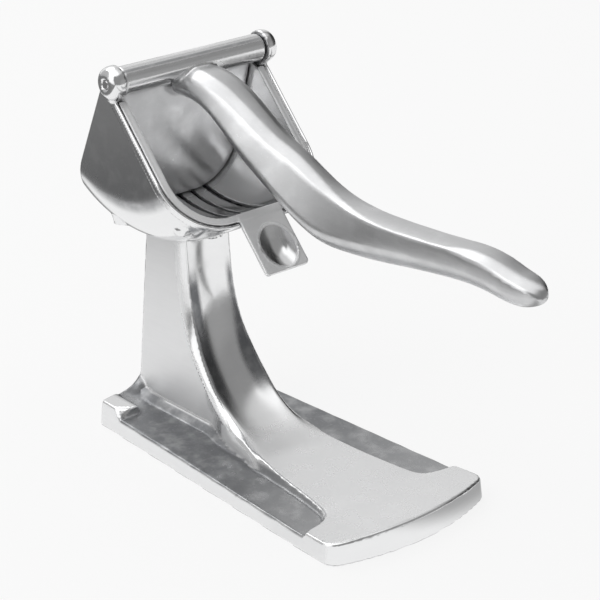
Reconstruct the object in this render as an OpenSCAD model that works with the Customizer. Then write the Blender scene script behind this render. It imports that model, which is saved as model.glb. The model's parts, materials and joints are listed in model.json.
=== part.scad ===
// Lever citrus press: a cast stand with an open trough on a post,
// a slotted strainer that lies in the trough, and a long lever that
// turns on a pin between two ears and squeezes half a fruit.
// Sizes in millimetres. The base stands on the ground plane, the lever
// points along minus Y, and the part is mirrored about the YZ plane.

/* [Base] */
// Length of the base between its corners
base_length = 164; // [130:1:200]
// Width of the base at the front
base_front_width = 90; // [70:1:110]
// Width of the base at the rear
base_rear_width = 72; // [56:1:88]
// Thickness of the base plate
base_plate = 7.4; // [5:0.2:10]
// How far the front edge bows out
front_bow = 8; // [4:0.5:12]
// How far the rear edge bows out
rear_bow = 3; // [1:0.5:5]
// Corner radius at the front
front_corner = 5; // [3:0.5:8]
// Corner radius at the rear
rear_corner = 2; // [1:0.5:4]
// Height of the raised front edge at its middle; its corners follow
front_crown = 11.2; // [9:0.2:14]
// Height of the two rear pads
pad_height = 11.8; // [9:0.2:14]
// Length of a rear pad
pad_length = 15; // [10:0.5:20]
// Width of a rear pad
pad_width = 8.6; // [6:0.2:11]

/* [Post] */
// Width of the post's web
web_width = 23; // [16:0.5:28]
// Slant of the post's rear face
web_slant = 6.4; // [0:0.2:10]
// Half width between the middle and a front ridge at the top
ridge_half_top = 8.8; // [6:0.2:10]
// Half width over the rounded front edges at the top
flange_half_top = 13.6; // [11:0.2:17]
// Depth of the channel in the front of the post
channel_depth = 3; // [1:0.5:5]
// Radius of the hollow sweep from the rear edge to the post
rear_round = 12; // [8:0.5:16]
// Radius of the hollow sweep along the post's foot
foot_fillet = 5; // [3:0.5:8]

/* [Hinge] */
// Distance of the hinge behind the middle of the base
hinge_back = 55.6; // [45:0.2:65]
// Height of the hinge
hinge_height = 167.5; // [150:0.5:190]
// Radius of the lever's barrel
barrel_radius = 6; // [5:0.1:7.5]
// Half length of the barrel
barrel_half = 37.7; // [34:0.1:42]
// Radius of the ears
ear_radius = 7.2; // [6:0.1:9]
// Thickness of an ear
ear_thick = 7; // [5:0.2:9]
// Radius of the hinge pin
pin_radius = 2; // [1.5:0.1:3]
// Radius of the dimple round the end of the pin
dimple_radius = 3.4; // [3:0.1:4]
// Depth of that dimple
dimple_depth = 0.8; // [0.4:0.1:1.5]

/* [Trough] */
// Radius of the trough about the hinge, outside
trough_radius = 72.6; // [64:0.2:80]
// Half width of the trough, outside
trough_half = 40; // [36:0.2:44]
// Wall of the trough
trough_wall = 2.4; // [1.8:0.1:3.5]
// Radius of the trough's lower corners, outside
trough_corner = 25; // [18:0.5:30]
// Angle of the rim from upright
rim_angle = 42.4; // [36:0.2:50]
// Distance of the rim behind the hinge axis
rim_back = 4.1; // [3:0.1:6]
// Thickness of the rim
rim_thick = 3.4; // [2.8:0.1:5]
// How far the rim stands out past the trough
rim_over = 1.4; // [0.8:0.1:2.5]
// Width of the rim's bead outside the recess
rim_bead = 1.8; // [1.2:0.1:2.5]
// Angle of the trough's rear wall from upright
back_angle = 24.5; // [20:0.5:30]
// Distance of the rear wall behind the hinge axis, outside
back_set = 8.3; // [8:0.1:10]
// Radius of the drain hole
drain_radius = 3.4; // [2.5:0.1:4]
// Distance of the drain hole in front of the hinge
drain_front = 12.4; // [10:0.2:15]
// Wall of the drain's lip
drain_wall = 1.4; // [1:0.1:2]
// How far the drain's lip hangs down
drain_drop = 2.6; // [1:0.2:5]
// Radius of the small casting bosses under the trough
boss_radius = 3; // [2:0.1:4]
// Height of those bosses
boss_height = 3; // [1:0.1:4]
// Half distance between a left and a right boss
boss_half = 31; // [24:0.5:33]
// Distance of the rear bosses behind the hinge
boss_rear = 9; // [4:0.5:14]
// Distance of the front bosses in front of the hinge
boss_front = 31; // [24:0.5:36]

/* [Strainer] */
// Wall of the strainer
strainer_wall = 1.6; // [1.2:0.1:2.2]
// Gap between the strainer and the trough
strainer_gap = 0.4; // [0.3:0.05:0.8]
// Thickness of the flange
flange_thick = 1.8; // [1.4:0.1:2.4]
// How far the flange stands proud of the rim
flange_proud = 0.4; // [0:0.1:1]
// Width of a slit
slit_width = 1.8; // [1.2:0.1:2.5]
// Distance from slit to slit
slit_pitch = 7.2; // [6:0.1:9]
// Number of slits on each side of the middle one
slit_side_count = 3; // [1:1:4]
// Angle of the slits in front of the hinge
slit_front_angle = 19; // [10:1:24]
// Angle of the slits behind the hinge
slit_rear_angle = 14; // [8:1:18]
// Half width of the tongue
tongue_half = 11.7; // [9:0.1:14]
// Length of the tongue past the trough
tongue_length = 24; // [18:0.5:30]
// Radius of the tongue's corners
tongue_corner = 2.5; // [1.5:0.1:4]
// Radius of the thumb hollow
thumb_radius = 9.6; // [7:0.1:10.5]
// Depth of the thumb hollow
thumb_depth = 3.2; // [1:0.1:4]

/* [Press] */
// Gap between the press and the strainer
press_gap = 0.6; // [0.4:0.05:1]
// Angle of the press face from upright
press_angle = 15.5; // [12:0.5:18]
// Gap behind the press at rest
rest_gap = 0.3; // [0.2:0.05:0.6]

/* [Lever] */
// Reach of the lever's tip in front of the middle of the base
tip_front = 148; // [120:1:170]
// Height of the lever's handle
handle_height = 124; // [110:1:140]
// Width of the arm along the handle, which its root follows
arm_width = 16; // [12:0.5:20]
// Height of the arm along the handle
arm_height = 15; // [11:0.5:18]

/* [Hidden] */
// Running clearance of the barrel on its pin
run_fit = 0.05;
// Clearance of the pin in the ears
ear_fit = 0.03;
// Clearance round the barrel
barrel_clear = 0.6;
// Gap between the barrel's end and an ear
end_clear = 0.3;
// Seat clearance of the strainer's flange
seat_clear = 0.3;
// Overrun of every cut
over = 1;
// Fineness of round shapes
fine = 96;

hinge = [0, hinge_back, hinge_height];
ear_inner = barrel_half + end_clear;
ear_outer = ear_inner + ear_thick;
front_half = base_front_width / 2;
rear_half = base_rear_width / 2;
half_length = base_length / 2;

// inside of the trough, outside of the strainer and the press
trough_in_radius = trough_radius - trough_wall;
trough_in_half = trough_half - trough_wall;
trough_in_corner = trough_corner - trough_wall;
trough_in_set = back_set - trough_wall;
strainer_radius = trough_in_radius - strainer_gap;
strainer_half = trough_in_half - strainer_gap;
strainer_corner = trough_in_corner - strainer_gap;
strainer_set = trough_in_set - seat_clear;
strainer_in_radius = strainer_radius - strainer_wall;
strainer_in_half = strainer_half - strainer_wall;
strainer_in_corner = strainer_corner - strainer_wall;
strainer_in_set = strainer_set - strainer_wall;
press_radius = strainer_in_radius - press_gap;
press_half = strainer_in_half - press_gap;
press_corner = strainer_in_corner - press_gap;
press_set = strainer_in_set - rest_gap;

// the rim's outline, measured down the rim from the hinge
rim_half = trough_half + rim_over;
rim_reach = trough_radius + rim_over / 2;
rim_corner = trough_corner + rim_over;
recess_half = rim_half - rim_bead;
recess_reach = rim_reach - rim_bead;
recess_corner = rim_corner - rim_bead;
recess_deep = rim_back - flange_proud + flange_thick + seat_clear;
flange_top = rim_back - flange_proud;
flange_half = recess_half - seat_clear;
flange_reach = recess_reach - seat_clear;
flange_corner = recess_corner - seat_clear;
flange_start = barrel_radius + 2 * barrel_clear;

// radius of a bow with this chord half and rise
function bow_radius(half, rise) = (half * half + rise * rise) / (2 * rise);
front_radius = bow_radius(front_half - front_corner / 2, front_bow);
rear_radius = bow_radius(rear_half, rear_bow);
front_middle = -half_length - front_bow;
rear_middle = half_length + rear_bow;

// mirrored pair about the YZ plane
module both() {
    children();
    mirror([1, 0, 0]) children();
}

// plate in the YZ plane, half wide to each side
module side_plate(half) {
    rotate([90, 0, 90])
        translate([0, 0, -half])
            linear_extrude(2 * half) children();
}

// frame on the hinge axis, turned so that a ring runs about X
module about_hinge() {
    translate(hinge) rotate([0, 90, 0]) children();
}

// frame on the rim: X across, Y down the rim, Z into the trough
module on_rim() {
    translate(hinge) rotate([-90 - rim_angle, 0, 0]) children();
}

// half outline of a trough that turns about the hinge
module trough_section(radius, half, corner) {
    translate([0, -half]) square([radius - corner, 2 * half]);
    translate([0, corner - half])
        square([radius, 2 * (half - corner)]);
    both_up() translate([radius - corner, half - corner])
        circle(r = corner, $fn = fine);
}

module both_up() {
    children();
    mirror([0, 1]) children();
}

// all that lies behind a plane along the rim
module behind_rim(front) {
    on_rim() translate([-far, -far, front]) cube([2 * far, 2 * far, 3 * far]);
}

// all that lies inside a rear wall, below its top edge
module inside_rear(set, start) {
    translate(hinge) rotate([back_angle, 0, 0])
        translate([-far, set - 2 * far, -2 * far - start])
            cube([2 * far, 2 * far, 2 * far]);
}

// the solid of a trough, cut at the rim and along the rear wall
module trough_solid(radius, half, corner, set, front, start) {
    intersection() {
        about_hinge()
            rotate_extrude($fn = 2 * fine)
                trough_section(radius, half, corner);
        behind_rim(front);
        inside_rear(set, start);
    }
}

// the space that the barrel turns in
module barrel_space() {
    about_hinge()
        translate([0, 0, -ear_inner])
            cylinder(r = barrel_radius + barrel_clear, h = 2 * ear_inner, $fn = fine);
}

// outline of a rim with open top and two lower corners
module rim_outline(half, reach, corner, start) {
    translate([-half, start]) square([2 * half, reach - corner - start]);
    translate([corner - half, start]) square([2 * (half - corner), reach - start]);
    both_across() translate([half - corner, reach - corner])
        circle(r = corner, $fn = fine);
}

module both_across() {
    children();
    mirror([1, 0]) children();
}

// points on an arc
function arc(middle, radius, from, to, steps) = [
    for (i = [0 : steps])
        let (turn = from + (to - from) * i / steps)
            [middle[0] + radius * cos(turn), middle[1] + radius * sin(turn)]
];

// right half of the base's outline, from the front middle to the rear
function half_width(y) =
    front_half + (rear_half - front_half) * (y + half_length) / base_length;
side_lean = atan((front_half - rear_half) / base_length);
front_core = [0, front_middle + front_radius];
front_corner_x = half_width(-half_length + front_corner) - front_corner / cos(side_lean);
front_corner_at = [
    front_corner_x,
    front_core[1] - sqrt(pow(front_radius - front_corner, 2) - pow(front_corner_x, 2))
];
front_turn = atan2(front_corner_at[1] - front_core[1], front_corner_x);
rear_core = [0, rear_middle - rear_radius];
rear_corner_x = half_width(half_length - rear_corner) - rear_corner / cos(side_lean);
rear_corner_at = [
    rear_corner_x,
    rear_core[1] + sqrt(pow(rear_radius - rear_corner, 2) - pow(rear_corner_x, 2))
];
rear_turn = atan2(rear_corner_at[1] - rear_core[1], rear_corner_x);
right_outline = concat(
    arc(front_core, front_radius, -90, front_turn, 14),
    arc(front_corner_at, front_corner, front_turn, side_lean, 6),
    arc(rear_corner_at, rear_corner, side_lean, rear_turn, 4),
    arc(rear_core, rear_radius, rear_turn, 90, 8)
);
base_outline = concat(
    right_outline,
    [for (i = [len(right_outline) - 2 : -1 : 1]) [-right_outline[i][0], right_outline[i][1]]]
);

// Post ridges from the top down: place, height and half width, as
// shares of the hinge's distance, the post's height and the top ridge.
post_shares = [
    [0.836, 1.03, 1],
    [0.827, 0.96, 1],
    [0.81, 0.82, 1],
    [0.773, 0.685, 1.01],
    [0.7, 0.548, 1.07],
    [0.585, 0.42, 1.2],
    [0.45, 0.318, 1.35],
    [0.28, 0.228, 1.48],
    [0.07, 0.155, 1.62]
];
// Apron edges from the post to the front: place as a share of the half
// length, edge and middle height as shares of the front crown, and half
// width as a share of the base's.
apron_shares = [
    [-0.1, 1.08, 1, 0.39],
    [-0.28, 0.9, 0.92, 0.445],
    [-0.46, 0.85, 0.89, 0.49],
    [-0.61, 0.81, 0.885, 0.533],
    [-0.7, 0.79, 0.89, 0.575],
    [-0.745, 0.775, 0.895, 0.655],
    [-0.77, 0.75, 0.9, 0.79],
    [-0.79, 0.74, 0.91, 1],
    [-0.9, 0.78, 0.94, 1.02],
    [-1, 0.84, 0.98, 1.04],
    [-1.15, 0.87, 1.02, 1.04]
];
post_top = hinge_height - trough_radius;
web_half = web_width / 2;
flange_side = flange_half_top - ridge_half_top;
flange_depth = flange_half_top * 0.75;

// unit vector from one point to another
function toward(a, b) = (b - a) / norm(b - a);
post_path = [for (s = post_shares) [hinge_back * s[0], post_top * s[1]]];
function post_way(i) =
    toward(post_path[max(i - 1, 0)], post_path[min(i + 1, len(post_path) - 1)]);
// direction into the post, square to its front
function post_in(i) = [-post_way(i)[1], post_way(i)[0]];

// one ring of the skin: middle, ridge, rounded side and buried back
function skin_ring(mid, ridge, side, back, half, half_side, half_back) =
    let (right = [
        [half * 0.4, mid + (ridge - mid) * 0.16],
        [half * 0.75, mid + (ridge - mid) * 0.56],
        [half, ridge],
        [half + (half_side - half) * 0.75, ridge + (side - ridge) * 0.3],
        [half_side, side],
        [half_back, back]
    ])
    concat(
        [[0, mid[0], mid[1]]],
        [for (p = right) [-p[0], p[1][0], p[1][1]]],
        [[0, back[0], back[1]]],
        [for (i = [len(right) - 1 : -1 : 0]) [right[i][0], right[i][1][0], right[i][1][1]]]
    );

post_rings = [
    for (i = [0 : len(post_shares) - 1])
        let (
            ridge = post_path[i],
            into = post_in(i),
            low = i / (len(post_shares) - 1),
            half = ridge_half_top * post_shares[i][2],
            side = flange_side * (1 - low / 2)
        )
        skin_ring(
            ridge + into * channel_depth * (1 - low * low),
            ridge,
            ridge + into * flange_depth * 0.4,
            ridge + into * flange_depth,
            half,
            half + side,
            max(web_half, half + side - flange_side / 2)
        )
];
apron_rings = [
    for (s = apron_shares)
        let (
            y = half_length * s[0],
            half = front_half * s[3],
            low = base_plate / 2,
            edge = front_crown * s[1]
        )
        skin_ring(
            [y, front_crown * s[2]],
            [y, edge],
            [y, edge - (edge - low) / 3],
            [y, low],
            half,
            half + base_plate / 5,
            half + base_plate / 3
        )
];

// closed skin over a row of rings with the same number of points
module skin(rings) {
    count = len(rings[0]);
    rows = len(rings);
    polyhedron(
        points = [for (ring = rings) for (p = ring) p],
        faces = concat(
            [[for (i = [0 : count - 1]) i]],
            [[for (i = [count - 1 : -1 : 0]) (rows - 1) * count + i]],
            [for (r = [0 : rows - 2]) for (i = [0 : count - 1])
                [r * count + i, (r + 1) * count + i, r * count + (i + 1) % count]],
            [for (r = [0 : rows - 2]) for (i = [0 : count - 1])
                [r * count + (i + 1) % count, (r + 1) * count + i,
                    (r + 1) * count + (i + 1) % count]]
        )
    );
}

far = 2 * trough_radius;
rear_lean = tan(web_slant);
web_top = post_top + trough_wall * 2;
web_low = base_plate - over;

// one plate from the base to the trough
module web() {
    low_in = post_path[6] + post_in(6) * flange_depth / 2;
    mid_in = post_path[4] + post_in(4) * flange_depth / 2;
    top_in = post_path[1] + post_in(1) * flange_depth / 2;
    side_plate(web_half)
        polygon([
            [rear_middle - rear_lean * web_low, web_low],
            [rear_middle - rear_lean * web_top, web_top],
            [top_in[0], web_top],
            top_in,
            mid_in,
            low_in,
            [0, web_low]
        ]);
}

// hollow sweep between the post's side and the base
module foot_sweep() {
    both()
        translate([0, post_path[6][0], 0])
            rotate([90, 0, 0]) mirror([0, 0, 1])
                linear_extrude(half_length - pad_length / 2 - post_path[6][0])
                    difference() {
                        translate([web_half - over, base_plate - over])
                            square([foot_fillet + over, foot_fillet + over]);
                        translate([web_half + foot_fillet, base_plate + foot_fillet])
                            circle(r = foot_fillet, $fn = fine);
                    }
}

// the rear edge sweeps up from the pads to the post
module rear_sweep() {
    both()
        translate([0, half_length - pad_length / 2, 0])
            rotate([90, 0, 0]) mirror([0, 0, 1])
                linear_extrude(pad_length)
                    difference() {
                        translate([web_half - over, base_plate - over])
                            square([rear_half - web_half, pad_height + rear_round - base_plate]);
                        translate([web_half + rear_round, pad_height + rear_round])
                            circle(r = rear_round, $fn = fine);
                        translate([web_half + rear_round, pad_height])
                            square([rear_half, rear_round + over]);
                    }
}

module base_plate_solid() {
    linear_extrude(base_plate) polygon(base_outline);
    intersection() {
        linear_extrude(pad_height) polygon(base_outline);
        both()
            translate([rear_half - pad_width, half_length - pad_length, over])
                cube([2 * pad_width, 2 * pad_length, pad_height - over]);
    }
}

drain_y = hinge_back - drain_front;
drain_z = hinge_height - sqrt(pow(trough_radius, 2) - pow(drain_front, 2));

module drain_lip() {
    translate([0, drain_y, drain_z - drain_drop])
        cylinder(r = drain_radius + drain_wall, h = drain_drop + trough_wall / 2, $fn = fine);
}

module drain_hole() {
    translate([0, drain_y, drain_z - drain_drop - over])
        cylinder(r = drain_radius, h = drain_drop + 3 * trough_wall + over, $fn = fine);
}

// short casting bosses on the lower corners of the trough
module bosses() {
    both()
        for (y = [boss_rear, -boss_front])
            translate([boss_half, hinge_back + y, boss_level(y) - boss_height])
                cylinder(r = boss_radius, h = boss_height + trough_wall, $fn = fine);
}

// height of the trough's outside at a boss
function boss_level(y) =
    hinge_height - sqrt(pow(boss_ring, 2) - pow(y, 2));
boss_out = boss_half - (trough_half - trough_corner);
boss_ring = trough_radius - trough_corner + sqrt(pow(trough_corner, 2) - pow(boss_out, 2));

module trough_shell() {
    trough_solid(trough_radius, trough_half, trough_corner, back_set, rim_back + over, 0);
    on_rim() translate([0, 0, rim_back])
        linear_extrude(rim_thick)
            rim_outline(rim_half, rim_reach, rim_corner, 0);
    both()
        about_hinge()
            translate([0, 0, ear_inner])
                cylinder(r = ear_radius, h = ear_thick, $fn = fine);
}

module trough_hollow() {
    trough_solid(
        trough_in_radius, trough_in_half, trough_in_corner, trough_in_set,
        rim_back - over, -far
    );
    on_rim() translate([0, 0, rim_back - over])
        linear_extrude(recess_deep - rim_back + over)
            rim_outline(recess_half, recess_reach, recess_corner, 0);
    on_rim() translate([-tongue_half - seat_clear, recess_reach - trough_corner / 2, rim_back - over])
        cube([2 * (tongue_half + seat_clear), trough_corner, recess_deep - rim_back + over]);
}

module stand() {
    color([0.78, 0.79, 0.8])
        difference() {
            union() {
                base_plate_solid();
                intersection() {
                    union() {
                        skin(concat(post_rings, apron_rings));
                        web();
                        foot_sweep();
                        rear_sweep();
                    }
                    linear_extrude(hinge_height) polygon(base_outline);
                }
                difference() {
                    trough_shell();
                    barrel_space();
                }
                drain_lip();
                bosses();
            }
            trough_hollow();
            drain_hole();
            both()
                about_hinge()
                    translate([0, 0, ear_inner - over])
                        cylinder(r = pin_radius + ear_fit, h = ear_thick + 2 * over, $fn = fine);
            both()
                about_hinge()
                    translate([0, 0, ear_outer - dimple_depth])
                        cylinder(r = dimple_radius, h = dimple_depth + over, $fn = fine);
        }
}

module slit(place) {
    about_hinge()
        rotate([0, 0, -slit_front_angle])
            rotate_extrude(angle = slit_front_angle + slit_rear_angle, $fn = 2 * fine)
                translate([strainer_in_radius - strainer_in_corner, place - slit_width / 2])
                    square([strainer_in_corner + 2 * strainer_wall, slit_width]);
}

module tongue() {
    on_rim() translate([0, 0, flange_top])
        linear_extrude(flange_thick)
            rim_outline(tongue_half, rim_reach + tongue_length, tongue_corner,
                recess_reach - trough_corner / 2);
}

thumb_ball = (pow(thumb_radius, 2) + pow(thumb_depth, 2)) / (2 * thumb_depth);
thumb_reach = rim_reach + tongue_length - tongue_half;

module thumb_bowl(grow) {
    on_rim() translate([0, thumb_reach, flange_top + thumb_depth - thumb_ball])
        sphere(r = thumb_ball + grow, $fn = fine);
}

module strainer() {
    color([0.72, 0.73, 0.75])
        difference() {
            union() {
                trough_solid(
                    strainer_radius, strainer_half, strainer_corner, strainer_set,
                    flange_top, flange_start
                );
                on_rim() translate([0, 0, flange_top])
                    linear_extrude(flange_thick)
                        rim_outline(flange_half, flange_reach, flange_corner, flange_start);
                tongue();
                intersection() {
                    thumb_bowl(flange_thick);
                    on_rim() translate([-tongue_half, thumb_reach - tongue_half, flange_top])
                        cube([2 * tongue_half, 2 * tongue_half, 2 * thumb_depth]);
                }
            }
            trough_solid(
                strainer_in_radius, strainer_in_half, strainer_in_corner, strainer_in_set,
                flange_top - over, -far
            );
            thumb_bowl(0);
            barrel_space();
            for (i = [-slit_side_count : slit_side_count])
                slit(i * slit_pitch);
        }
}

module hinge_pin() {
    color([0.66, 0.67, 0.69])
        about_hinge()
            translate([0, 0, dimple_depth - ear_outer])
                cylinder(r = pin_radius, h = 2 * (ear_outer - dimple_depth), $fn = fine);
}

// Arm stations from the hinge to the tip: how far along, how high
// between handle and hinge, width and height as shares of the arm's.
arm_shares = [
    [-0.007, 0.84, 1.31, 0.73],
    [0.037, 0.855, 1.37, 0.84],
    [0.086, 0.82, 1.37, 0.84],
    [0.125, 0.74, 1.37, 0.88],
    [0.185, 0.555, 1.35, 1],
    [0.23, 0.415, 1.3, 1.13],
    [0.27, 0.31, 1.25, 1.25],
    [0.32, 0.2, 1.21, 1.41],
    [0.37, 0.09, 1.17, 1.49],
    [0.425, -0.005, 1.12, 1.52],
    [0.49, -0.04, 1.06, 1.35],
    [0.56, -0.035, 1, 1.19],
    [0.666, 0, 0.95, 1.04],
    [0.764, 0.044, 0.925, 0.95],
    [0.838, 0.064, 0.91, 0.95],
    [0.886, 0.046, 0.89, 0.92],
    [0.935, 0.01, 0.82, 0.83],
    [0.967, 0.01, 0.72, 0.66],
    [0.986, 0.02, 0.54, 0.45],
    [0.996, 0.025, 0.3, 0.24],
    [1, 0.03, 0.1, 0.08]
];
arm_run = hinge_back + tip_front;
arm_drop = hinge_height - handle_height;
arm_path = [
    for (s = arm_shares) [hinge_back - arm_run * s[0], handle_height + arm_drop * s[1]]
];
function arm_way(i) =
    toward(arm_path[max(i - 1, 0)], arm_path[min(i + 1, len(arm_path) - 1)]);
// upward, square to the arm
function arm_up(i) = [arm_way(i)[1], -arm_way(i)[0]];
arm_sides = 20;
arm_rings = [
    for (i = [0 : len(arm_shares) - 1])
        let (half = arm_width / 2 * arm_shares[i][2], rise = arm_height / 2 * arm_shares[i][3])
        [
            for (k = [0 : arm_sides - 1])
                let (
                    turn = 360 * k / arm_sides,
                    across = sign(cos(turn)) * pow(abs(cos(turn)), 0.7),
                    up = sign(sin(turn)) * pow(abs(sin(turn)), 0.7),
                    at = arm_path[i] + arm_up(i) * rise * up
                )
                [half * across, at[0], at[1]]
        ]
];

module press() {
    intersection() {
        trough_solid(press_radius, press_half, press_corner, press_set, -far, 0);
        translate(hinge) rotate([press_angle, 0, 0])
            translate([-far, 0, -2 * far])
                cube([2 * far, far, 2 * far]);
    }
}

module lever() {
    color([0.8, 0.81, 0.82])
        difference() {
            union() {
                press();
                about_hinge()
                    translate([0, 0, -barrel_half])
                        cylinder(r = barrel_radius, h = 2 * barrel_half, $fn = fine);
                skin(arm_rings);
            }
            about_hinge()
                translate([0, 0, -barrel_half - over])
                    cylinder(r = pin_radius + run_fit, h = 2 * (barrel_half + over), $fn = fine);
        }
}

stand();
strainer();
hinge_pin();
lever();
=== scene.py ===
# %% [markdown]
# # A cast lever press for citrus fruit
# The press is four pieces: a stand cast in one with its post and trough, a strainer that lies in the
# trough, a lever with its press plate, and a pin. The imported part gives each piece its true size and
# place, and this script gives it the soft edges, blends and worn polish of hand-finished castings.

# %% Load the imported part
import json
import math
from types import SimpleNamespace

import bpy
import numpy as np
from mathutils import Matrix, Vector

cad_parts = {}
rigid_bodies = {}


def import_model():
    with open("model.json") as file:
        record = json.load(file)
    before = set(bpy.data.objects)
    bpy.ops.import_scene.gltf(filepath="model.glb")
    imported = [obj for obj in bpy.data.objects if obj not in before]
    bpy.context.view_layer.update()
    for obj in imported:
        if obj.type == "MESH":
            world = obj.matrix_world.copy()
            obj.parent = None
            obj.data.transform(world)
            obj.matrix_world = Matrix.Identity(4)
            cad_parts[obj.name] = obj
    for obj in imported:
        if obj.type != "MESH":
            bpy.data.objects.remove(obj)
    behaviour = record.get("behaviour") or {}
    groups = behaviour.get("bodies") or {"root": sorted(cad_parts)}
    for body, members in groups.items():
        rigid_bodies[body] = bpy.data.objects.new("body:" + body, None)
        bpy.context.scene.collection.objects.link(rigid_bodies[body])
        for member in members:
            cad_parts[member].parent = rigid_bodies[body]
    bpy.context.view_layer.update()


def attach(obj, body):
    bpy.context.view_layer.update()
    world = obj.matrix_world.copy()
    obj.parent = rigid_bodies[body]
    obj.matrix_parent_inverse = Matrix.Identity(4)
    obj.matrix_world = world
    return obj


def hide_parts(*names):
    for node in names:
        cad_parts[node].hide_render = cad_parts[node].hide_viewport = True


# start from an empty scene
for leftover in list(bpy.data.objects):
    bpy.data.objects.remove(leftover)
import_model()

# %% [markdown]
# ## Fields: a casting as a formula
# A casting has few true edges: every wall runs into the next over a blend. Boxes and bevels could make
# that, but the blends between a swept post, a plate and a round trough are hard to cut by hand. A field
# is easier: a function that is negative inside the metal and positive outside, in millimetres. Two
# fields join or cut each other with a rounded corner of any radius, which is what a fillet is.

# %% Join, keep and carve with round corners
DIAGONAL = 0.7071


def join(a, b, r):
    """Both solids, with a hollow fillet of radius r between them."""
    near_a, near_b = np.maximum(r - a, 0), np.maximum(r - b, 0)
    return np.maximum(r, np.minimum(a, b)) - np.sqrt(near_a * near_a + near_b * near_b)


def bridge(a, b, leg, r):
    """Both solids, with a flat slanted strip between them and round bends beside it."""
    return join(join(a, (a + b - leg) * DIAGONAL, r), b, r)


def keep(a, b, r):
    """Only what both solids share, with its edge rounded to radius r."""
    near_a, near_b = np.maximum(r + a, 0), np.maximum(r + b, 0)
    return np.minimum(-r, np.maximum(a, b)) + np.sqrt(near_a * near_a + near_b * near_b)


def carve(a, b, r):
    """The first solid without the second."""
    return keep(a, -b, r)


def ease(v, start, end):
    """0 before start, 1 after end, and a smooth step between."""
    t = np.clip((v - start) / (end - start), 0, 1)
    return t * t * (3 - 2 * t)


print("a fillet of 4 mm at a right angle starts at", round(float(join(0.0, 4.0, 4)), 2), "mm")

# %% [markdown]
# ## Curves through a few chosen points
# The post's front, the apron's edge and the lever's arm are curves that a pattern maker would draw
# through a few points. A cubic spline through given points does the same. A long table of the
# spline is made once, so that a field can read it quickly. Where a curve steps, the slopes are limited,
# so that it doesn't swing past its points.

# %% Spline tables
TABLE_STEPS = 6000


def smooth_curve(points, stepped=False):
    """A function through (place, value) points, and the function of its slope."""
    t, v = (np.array(c, float) for c in zip(*sorted(points)))
    gap, rise = np.diff(t), np.diff(v) / np.diff(t)
    if stepped:
        slope = np.zeros(len(t))
        same = rise[1:] * rise[:-1] > 0
        w1, w2 = 2 * gap[1:] + gap[:-1], gap[1:] + 2 * gap[:-1]
        both = np.where(same, rise[:-1] * rise[1:], 1)
        slope[1:-1] = np.where(same, (w1 + w2) * both / (w1 * rise[1:] + w2 * rise[:-1] + 1e-12), 0)
        slope[0], slope[-1] = rise[0], rise[-1]
    else:
        n = len(t)
        m, rhs = np.eye(n) * 2.0, np.zeros(n)
        m[0, 1] = m[-1, -2] = 1
        rhs[0], rhs[-1] = 3 * rise[0], 3 * rise[-1]
        for i in range(1, n - 1):
            m[i, i - 1], m[i, i], m[i, i + 1] = gap[i], 2 * (gap[i - 1] + gap[i]), gap[i - 1]
            rhs[i] = 3 * (gap[i] * rise[i - 1] + gap[i - 1] * rise[i])
        slope = np.linalg.solve(m, rhs)
    at = np.linspace(t[0], t[-1], TABLE_STEPS)
    k = np.clip(np.searchsorted(t, at) - 1, 0, len(t) - 2)
    u, g = (at - t[k]) / gap[k], gap[k]
    value = (
        v[k] * (1 + 2 * u) * (1 - u) ** 2 + v[k + 1] * u * u * (3 - 2 * u)
        + g * slope[k] * u * (1 - u) ** 2 - g * slope[k + 1] * u * u * (1 - u)
    )
    lean = np.gradient(value, at)
    return (lambda q: np.interp(q, at, value)), (lambda q: np.interp(q, at, lean))


print("a spline's table has", TABLE_STEPS, "places")

# %% [markdown]
# ## From a field to a mesh
# The field is sampled on a grid. In each cell that the surface crosses goes one point, and four
# neighbouring points make a face, which is called a surface net. A few Newton steps then pull every
# point onto the true surface, and the field's slope gives its exact normal. Polished metal shows every
# dent in its reflections, so this matters more here than the number of faces.

# %% Sample a field and step onto its surface
COARSE = 1.0
SLAB = 12
PROBE = 0.04
CORNERS = np.array([(i, j, k) for i in (0, 1) for j in (0, 1) for k in (0, 1)])
EDGES = [(a, b) for a in range(8) for b in range(a) if abs(CORNERS[a] - CORNERS[b]).sum() == 1]
print("a cell has", len(CORNERS), "corners and", len(EDGES), "edges")


def sample(field, low, count, step):
    """The field on a grid, a slab of rows at a time to spare memory."""
    x, y, z = (low[i] + step * np.arange(count[i]) for i in range(3))
    out = np.empty(count, np.float32)
    for i in range(0, count[0], SLAB):
        out[i:i + SLAB] = field(x[i:i + SLAB, None, None], y[None, :, None], z[None, None, :])
    return out


def slope_of(field, p):
    """Which way the field grows at each point, and how fast."""
    parts = []
    for axis in range(3):
        d = np.zeros(3)
        d[axis] = PROBE
        parts.append((field(*(p + d).T) - field(*(p - d).T)) / (2 * PROBE))
    return np.stack(parts, 1)


def settle(field, p, step, rounds):
    """Newton steps along the slope, none longer than half a cell."""
    for _ in range(rounds):
        g = slope_of(field, p)
        move = field(*p.T) / np.maximum((g * g).sum(1), 0.05)
        p = p - np.clip(move[:, None] * g, -0.5 * step, 0.5 * step)
    return p


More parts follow.
